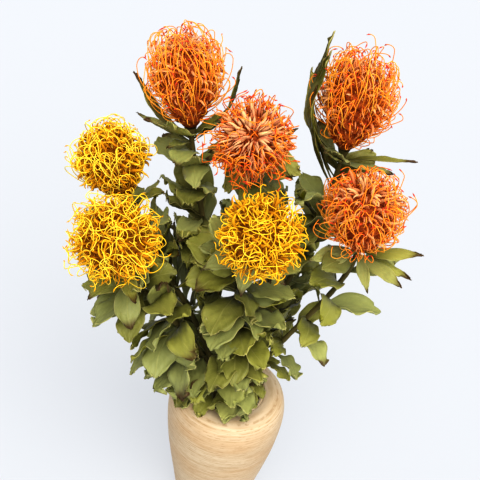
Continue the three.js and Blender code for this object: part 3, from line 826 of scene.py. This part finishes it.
def style_paths(stem, florets):
    """Paths of the styles: out of the core, up and over, and curled at the end."""
    draw, radial, around, polar = florets.draw, florets.radial, florets.around, florets.polar
    curly = stem.curl
    loose = mix(*LOOSENESS, curly)
    drooping = stem.skirt * np.clip((polar - SKIRT_FROM) / SKIRT_DEPTH, 0, 1)
    spread = np.minimum(polar * STYLE_TILT, MOST_TILT) + SKIRT_DROOP * drooping
    heading = florets.headings(spread + loose * (draw(31) - 0.5), loose, 32)
    hook_from = mix(*HOOK_FROM, curly * draw(33))
    bend = mix(*BEND, draw(34))
    hook = between(HOOK, curly, draw(35))
    inwards = (polar < CROWN_TO + 0.5 * curly) & (draw(36) > 0.5)
    about = np.where(inwards, around, -around)
    lean = mix(*BEND_LEAN, draw(37))
    swing = mix(*HOOK_SWING, draw(38)) * (0.5 + 0.9 * curly)
    bend_axis = unit(about + (radial + UP) * lean)
    hook_axis = unit(about + (radial + UP) * swing)
    wiggle = between(WIGGLE, curly, draw(39)) * (0.6 + 1.6 * curly)
    phase = TURN * draw(40)

    def spin_at(share):
        sway = wiggle * np.sin(TURN * WIGGLE_BEATS * share + phase) * radial
        gentle = bend_axis * bend / hook_from
        tight = hook_axis * hook / (1 - hook_from)
        return np.where(share < hook_from, gentle, tight) + sway

    paths = florets.root[:, None] + bend_along(heading, STYLE_STEPS, spin_at) * stem.girth
    return fit_to_egg(paths, stem, style_reach(stem, florets)[:, 0])


def style_reach(stem, florets):
    """How far out in the bloom's egg each style ends: most near its surface, strays beyond it."""
    draw, radial, polar = florets.draw, florets.radial, florets.polar
    short = (polar < 0.95) & (draw(41) < stem.bare)
    grown = mix(LEAST_REACH - 0.24 * stem.curl, 1.0, draw(42) ** 0.5)
    target = np.where(short, mix(*SHORT_REACH, draw(42)), grown)
    turn = np.arctan2(radial[:, 1:2], radial[:, :1])
    lump = np.sin(3 * turn + 5 * stem.index) * np.sin(2.5 * polar)
    lump += np.sin(5 * turn + 2 * stem.index + 4 * polar)
    target = np.minimum(target * (1 + LUMP * lump), FURTHEST)
    stray = draw(43) < STRAY_SHARE
    return np.where(stray & ~short, stem.stray_reach, target)


def lobe_paths(stem, florets):
    """Paths of the florets' lobes: short ribbons that rise from the core and roll back."""
    draw, radial, polar = florets.draw, florets.radial, florets.polar
    low = np.clip((polar - LOW_LOBES_FROM) / 0.8, 0, 1)
    crown = np.clip((CROWN_LOBES_TO - polar) / 0.3, 0, 1)
    star = crown * stem.bare
    tilt = np.minimum(polar * LOBE_TILT, MOST_LOBE_TILT) * (1 - 0.6 * low)
    heading = florets.headings(tilt + LOBE_JITTER * (draw(51) - 0.5), LOBE_SWAY, 52)
    curl = between(LOBE_CURL, stem.curl, draw(53)) * (1 - 0.8 * low)
    inwards = 1 - 2 * np.maximum(low, crown - star)
    lean = (radial + UP) * mix(*LOBE_LEAN, draw(54)) * (1 - 0.5 * crown)
    axis = unit(florets.around * inwards + lean)
    length = mix(*LOBE_LENGTH, draw(55)) * (1 - 0.1 * star - 0.4 * low) * (1 + 0.25 * stem.curl)

    def spin_at(share):
        return axis * curl * 2 * share

    ribbons = bend_along(heading, LOBE_STEPS, spin_at) * length[:, :, None]
    return florets.root[:, None] + ribbons * stem.girth


def add_core(shape, stem):
    """An egg that narrows to the neck, knobbed where the florets are packed."""
    share = np.linspace(-NECK_AT, CORE_OUTLINE[-1][1], CORE_ROWS)[:, None]
    angle = angles_round(CORE_COLUMNS)
    swell = 1 + CORE_SWELL * np.sin(CORE_LOBES * angle + share * stem.rise * CORE_TWIST)
    knobs = 1 + CORE_KNOBS * np.sin(angle * 13 + share * 21) * np.sin(share * 34 - angle * 8)
    bulge = np.where(share < NECK_BELOW, 1, swell * knobs * CORE_SHRINK)
    radius = core_radius(share) * stem.girth * bulge
    points = turned(radius, share * stem.rise, angle)
    faces = grid_faces(CORE_ROWS, CORE_COLUMNS, closed=True)
    shape.add(points, faces, 2, along=0.0, tone=0.5, pale=0.0, red=stem.redness)


def add_lobes(shape, stem):
    """The florets' lobes, paler on a bare top."""
    florets = Florets(stem, LOBE_COUNT, FIRST_LOBE, LOWEST_LOBE, LOBE_TURN, stem.bare)
    s = np.linspace(0, 1, LOBE_STEPS)
    wide = LOBE_WIDTH[stem.kind] * np.sin(math.pi * (0.12 + 0.84 * s)) ** 0.8
    flecked = (florets.draw(58) > FLECKED_ABOVE) & (stem.kind == "orange")
    pale = np.maximum(stem.bare * np.clip(1.5 - florets.polar, 0, 1), FLECK * flecked)
    radii = wide * mix(*LOBE_WIDTHS, florets.draw(57)) * (1 + PALE_GROWTH * pale)
    values = dict(along=s, tone=florets.draw(56), pale=pale, red=stem.redness)
    add_tubes(shape, lobe_paths(stem, florets), radii, LOBE_SIDES, 1, LOBE_FLATNESS, **values)


def add_styles(shape, stem):
    """The styles, each ending in a small club."""
    florets = Florets(stem, STYLE_COUNT, FIRST_STYLE, LOWEST_STYLE)
    s = np.linspace(0, 1, STYLE_STEPS)
    taper = STYLE_TAPER["root"] - STYLE_TAPER["lost"] * s
    club = 1 + CLUB["swell"] * np.exp(-(((s - CLUB["at"]) / CLUB["length"]) ** 2))
    thick = STYLE_THICKNESS[stem.kind] * taper * club
    radii = np.broadcast_to(thick, (STYLE_COUNT, STYLE_STEPS)).copy()
    radii[:, -1] = STYLE_TIP
    values = dict(along=s, tone=florets.draw(44), pale=0.0, red=stem.redness)
    add_tubes(shape, style_paths(stem, florets), radii, STYLE_SIDES, 0, **values)


def make_bloom(stem, name, materials):
    """A bloom, made in its own frame and then set on its stem."""
    shape = Shape()
    add_core(shape, stem)
    add_lobes(shape, stem)
    add_styles(shape, stem)
    shape.points = [block @ stem.frame + stem.middle for block in shape.points]
    return shape.build(name, materials)


def make_vase(material):
    """The same turned profile as the solid vase, rounder, with a fine bead round the lip."""
    outside = [catmull(VASE_OUTLINE, i / VASE_RINGS) for i in range(VASE_RINGS + 1)]
    bead = [(radius, RIM_HEIGHT - depth) for radius, depth in LIP_BEAD]
    bore = [(MOUTH_RADIUS, 150), (MOUTH_RADIUS, 90), (BORE_FLOOR_RADIUS, BORE_FLOOR_HEIGHT + 3)]
    floor = [(BORE_FLOOR_RADIUS - 3, BORE_FLOOR_HEIGHT), (NEAR_AXIS, BORE_FLOOR_HEIGHT)]
    foot = [(NEAR_AXIS, 0), (BASE_RADIUS - 1.2, 0), (BASE_RADIUS - 0.3, 0.4)]
    profile = np.array(foot + outside[1:] + bead + bore + floor)
    shape = Shape()
    points = turned(profile[:, :1], profile[:, 1:], angles_round(VASE_SEGMENTS))
    shape.add(points, grid_faces(len(profile), VASE_SEGMENTS, closed=True))
    return shape.build("vase_turned", [material])


def catmull(points, t):
    """A point on the spline that runs through `points`, as the solid's profile does."""
    place = (len(points) - 1) * t
    i = min(int(place), len(points) - 2)
    w = place - i
    p = np.array(points, float)
    p0, p1, p2, p3 = p[max(i - 1, 0)], p[i], p[i + 1], p[min(i + 2, len(p) - 1)]
    v0, v1 = (p2 - p0) / 2, (p3 - p1) / 2
    return (2 * p1 - 2 * p2 + v0 + v1) * w**3 + (-3 * p1 + 3 * p2 - 2 * v0 - v1) * w**2 + v0 * w + p1


def rgb(red, green, blue):
    """A colour as it shows on a screen, from 0 to 255, as the shader's linear values."""
    shown = [channel / 255 for channel in (red, green, blue)]
    return (*[c / 12.92 if c <= 0.04045 else ((c + 0.055) / 1.055) ** 2.4 for c in shown], 1.0)


class Nodes:
    """A material's node tree, with short calls for the nodes that the materials share."""

    def __init__(self, name):
        self.material = bpy.data.materials.new(name)
        self.material.use_nodes = True
        self.tree = self.material.node_tree
        self.shader = self.tree.nodes["Principled BSDF"]
        self.shader.inputs["Specular IOR Level"].default_value = 0.15

    def node(self, kind, inputs=(), **settings):
        made = self.tree.nodes.new(kind)
        for key, value in settings.items():
            setattr(made, key, value)
        self.feed(made, dict(inputs))
        return made

    def feed(self, node, inputs):
        """Links a node's inputs to the values that are sockets, and sets the others."""
        for key, value in inputs.items():
            if isinstance(value, bpy.types.NodeSocket):
                self.tree.links.new(value, node.inputs[key])
            else:
                node.inputs[key].default_value = value

    def value(self, name):
        return self.node("ShaderNodeAttribute", attribute_name=name).outputs["Fac"]

    def math(self, operation, a, b=0.0, clamp=False):
        return self.node("ShaderNodeMath", {0: a, 1: b}, operation=operation, use_clamp=clamp).outputs[0]

    def times(self, a, b):
        return self.math("MULTIPLY", a, b)

    def blend(self, share, a, b):
        return self.node("ShaderNodeMix", {0: share, 6: a, 7: b}, data_type="RGBA").outputs[2]

    def tint(self, colour, share, most, *shown):
        """The colour with up to `most` of another one in it, by `share`."""
        return self.blend(self.times(share, most), colour, rgb(*shown))

    def ramp(self, value, *stops):
        made = self.node("ShaderNodeValToRGB", {0: value})
        elements = made.color_ramp.elements
        while len(elements) < len(stops):
            elements.new(0.5)
        for element, (place, colour) in zip(elements, stops):
            element.position = place
            element.color = colour
        return made.outputs[0]

    def level(self, value, low, high):
        """0 at `low`, 1 at `high`, and smooth between."""
        facts = {0: value, 1: low, 2: high}
        return self.node("ShaderNodeMapRange", facts, interpolation_type="SMOOTHSTEP").outputs[0]

    def noise(self, scale, detail=4.0, stretch=(1, 1, 1), rough=0.55):
        place = self.node("ShaderNodeTexCoord").outputs["Object"]
        place = self.node("ShaderNodeMapping", {"Vector": place, "Scale": stretch}).outputs[0]
        facts = {"Vector": place, "Scale": scale, "Detail": detail, "Roughness": rough}
        return self.node("ShaderNodeTexNoise", facts).outputs[0]

    def bump(self, height, strength, distance):
        made = self.node("ShaderNodeBump", {"Height": height, "Strength": strength, "Distance": distance})
        self.feed(self.shader, {"Normal": made.outputs[0]})

    def finish(self, colour, roughness):
        self.feed(self.shader, {"Base Color": colour, "Roughness": roughness})
        return self.material


def wood_material():
    """Pale turned wood: fine lines from the turning, over soft broad grain."""
    n = Nodes("turned_wood")
    place = n.node("ShaderNodeTexCoord").outputs["Object"]
    wave = n.node(
        "ShaderNodeTexWave",
        {"Vector": place, "Scale": 98, "Distortion": 0.7, "Detail": 2, "Detail Scale": 2.0},
        wave_type="BANDS",
        bands_direction="Z",
    ).outputs["Fac"]
    patchy = n.level(n.noise(150, 3, (1, 1, 3)), 0.45, 0.6)
    turned = n.times(n.level(wave, 0.4, 0.05), patchy)
    fibre = n.noise(24, 6, (1, 1, 26), 0.65)
    broad = n.noise(7, 3, (1, 1, 3.2))
    colour = n.ramp(fibre, (0.32, rgb(185, 161, 127)), (0.5, rgb(202, 182, 153)), (0.68, rgb(211, 195, 168)))
    colour = n.tint(colour, n.level(broad, 0.42, 0.66), 0.4, 190, 152, 106)
    colour = n.tint(colour, turned, 0.45, 162, 126, 84)
    relief = n.math("SUBTRACT", n.times(fibre, 0.3), turned)
    n.bump(relief, 0.3, 0.0004)
    return n.finish(colour, 0.5)


def leaf_material():
    """Dark to pale olive, with pale patches of painted highlight, dark mottles of painted shade, painted
    shade towards the root, veins and margins, and burnt tips.
    """
    n = Nodes("dried_leaf")
    along, across, tone = n.value("along"), n.value("across"), n.value("tone")
    under, burn = n.value("under"), n.value("burn")
    aside = n.math("ABSOLUTE", across)
    dark, deep = (0.0, rgb(54, 52, 2)), (0.35, rgb(80, 80, 4))
    green, pale = (0.65, rgb(126, 126, 26)), (0.95, rgb(212, 208, 126))
    colour = n.ramp(tone, dark, deep, green, pale)
    # Pale noise patches: painted highlights on the blades.
    colour = n.tint(colour, n.level(n.noise(30, 5), 0.42, 0.72), 0.55, 192, 188, 104)
    # Dark noise mottles: painted shade on the blades.
    colour = n.tint(colour, n.level(n.noise(52, 4, rough=0.7), 0.5, 0.75), 0.6, 52, 50, 4)
    colour = n.tint(colour, under, 0.5, 158, 158, 84)
    # Darker towards the root, where the blade lies deep in the bunch: painted shade.
    colour = n.tint(colour, n.level(along, 0.65, 0.05), 0.8, 42, 36, 0)

    sage = n.level(n.math("FRACT", n.times(tone, 7.3)), 0.5, 0.7)
    colour = n.tint(colour, sage, 0.5, 164, 170, 116)

    # Side veins run out from the midrib and forward to the edge.
    slant = n.math("SUBTRACT", n.times(along, 9.0), n.times(aside, 2.6))
    strand = n.math("ABSOLUTE", n.math("SUBTRACT", n.math("FRACT", slant), 0.5))
    vein = n.level(strand, 0.08, 0.0)
    midrib = n.level(aside, 0.05, 0.01)
    lines = n.math("MAXIMUM", n.times(vein, 0.3), n.times(midrib, 0.7))
    colour = n.tint(colour, lines, 0.5, 176, 172, 104)

    margin = n.math("MAXIMUM", n.level(aside, 0.955, 0.995), n.level(along, 0.975, 0.998))
    margin = n.times(margin, n.level(n.noise(45, 3), 0.35, 0.6))
    colour = n.tint(colour, margin, 0.5, 212, 198, 132)
    reach = n.level(n.math("ADD", along, n.times(n.noise(30, 2), 0.4)), 1.0, 1.22)
    colour = n.tint(colour, n.times(reach, burn), 0.9, 70, 34, 20)
    n.bump(n.math("ADD", n.times(lines, 0.6), n.noise(240, 5)), 0.45, 0.0005)
    n.shader.inputs["Specular IOR Level"].default_value = 0.22
    return n.finish(colour, 0.42)


def bark_material():
    n = Nodes("bark")
    grain = n.noise(60, 5, (1, 1, 0.12))
    colour = n.ramp(grain, (0.3, rgb(74, 70, 38)), (0.7, rgb(124, 112, 66)))
    n.bump(grain, 0.5, 0.0004)
    return n.finish(colour, 0.75)


def style_material(kind):
    """A style darkens to its root and reddens to its club."""
    n = Nodes(kind + "_style")
    along, tone, red = (n.value(name) for name in ("along", "tone", "red"))
    if kind == "orange":
        light, deep = rgb(255, 200, 76), rgb(254, 122, 20)
        root, tip = rgb(206, 96, 20), rgb(206, 66, 36)
    else:
        light, deep = rgb(255, 238, 92), rgb(252, 208, 40)
        root, tip = rgb(190, 114, 6), rgb(240, 174, 16)
    warm = n.math("ADD", n.times(tone, 0.6), n.times(red, 0.55), clamp=True)
    colour = n.blend(warm, light, deep)
    colour = n.blend(n.level(along, 0.35, 0.0), colour, root)
    blush = n.times(n.level(along, 0.55, 0.9), 0.35 if kind == "orange" else 0.1)
    colour = n.blend(blush, colour, deep)
    colour = n.blend(n.level(along, 0.9, 0.94), colour, tip)
    n.bump(n.noise(420, 3), 0.35, 0.0003)
    return n.finish(colour, 0.5)


def lobe_material(kind):
    """The florets' lobes: silky and pale at their rolled ends."""
    n = Nodes(kind + "_lobe")
    tone, along = n.value("tone"), n.value("along")
    if kind == "orange":
        low, middle, high = rgb(196, 90, 22), rgb(236, 146, 62), rgb(246, 190, 128)
    else:
        low, middle, high = rgb(140, 76, 4), rgb(206, 140, 12), rgb(246, 196, 40)
    place = n.math("ADD", n.times(tone, 0.45), n.times(along, 0.55))
    colour = n.ramp(place, (0.1, low), (0.45, middle), (0.9, high))
    faded = n.times(n.value("pale"), n.level(along, 0.05, 0.5))
    silky = n.blend(tone, rgb(194, 124, 94), rgb(238, 200, 146))
    colour = n.blend(n.times(faded, 0.9), colour, silky)
    n.bump(n.noise(500, 4), 0.6, 0.0004)
    return n.finish(colour, 0.75)


def core_material(kind):
    n = Nodes(kind + "_core")
    grain = n.noise(180, 5)
    if kind == "orange":
        dark, light = rgb(124, 50, 14), rgb(192, 102, 42)
    else:
        dark, light = rgb(122, 66, 2), rgb(176, 116, 12)
    n.bump(grain, 0.8, 0.001)
    return n.finish(n.ramp(grain, (0.35, dark), (0.7, light)), 0.85)


def floor_material():
    """A pale sheet that glows a little, like a lit studio table."""
    n = Nodes("pale_floor")
    n.bump(n.noise(300, 2), 0.05, 0.0005)
    n.shader.inputs["Emission Color"].default_value = rgb(246, 249, 255)
    n.shader.inputs["Emission Strength"].default_value = FLOOR_GLOW
    return n.finish(rgb(*FLOOR_TINT), 0.9)


def make_floor():
    bpy.ops.mesh.primitive_plane_add(size=12, location=(0, 2, 0))
    floor = bpy.context.active_object
    floor.name = "floor"
    floor.data.materials.append(floor_material())


def make_camera():
    """Tilted up from looking straight down, rolled, and moved back from its target."""
    tilt = Matrix.Rotation(math.radians(90 - CAMERA_DIP), 4, "X")
    roll = Matrix.Rotation(math.radians(CAMERA_ROLL), 4, "Z")
    back = Matrix.Translation((0, 0, CAMERA_DISTANCE * MM))
    data = bpy.data.cameras.new("camera")
    data.lens = CAMERA_LENS
    data.clip_end = 30
    camera = new_object("camera", data)
    camera.matrix_world = Matrix.Translation(Vector(CAMERA_TARGET) * MM) @ tilt @ roll @ back
    bpy.context.scene.camera = camera


def make_lights():
    """One broad sun from the right and front, and an even pale sky."""
    data = bpy.data.lights.new("sun", "SUN")
    data.energy = SUN_STRENGTH
    data.angle = math.radians(SUN_SPREAD)
    data.color = (1.0, 0.985, 0.96)
    sun = new_object("sun", data)
    sun.rotation_euler = (-Vector(SUN_FROM)).to_track_quat("-Z", "Y").to_euler()
    world = bpy.data.worlds.new("studio")
    world.use_nodes = True
    sky = world.node_tree.nodes["Background"]
    sky.inputs["Color"].default_value = (0.95, 0.97, 1.0, 1.0)
    sky.inputs["Strength"].default_value = SKY_STRENGTH
    bpy.context.scene.world = world
    view = bpy.context.scene.view_settings
    view.view_transform = "Standard"
    view.gamma = PICTURE_GAMMA


def ride_for(piece, node):
    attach(piece, "root")
    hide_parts(node)


make_camera()
make_floor()
make_lights()
ride_for(make_vase(wood_material()), "vase")
leaf, bark = leaf_material(), bark_material()
for kind in ("orange", "yellow"):
    bloom_materials = [style_material(kind), lobe_material(kind), core_material(kind)]
    for count, stem in enumerate((stem for stem in stems if stem.kind == kind), 1):
        label = f"{kind}_{count}"
        foliage = make_leafy_stem(stem, "foliage_" + label, [leaf, bark])
        ride_for(foliage, "leafy_stem_" + label)
        flower = make_bloom(stem, "flower_" + label, bloom_materials)
        ride_for(flower, "bloom_" + label)
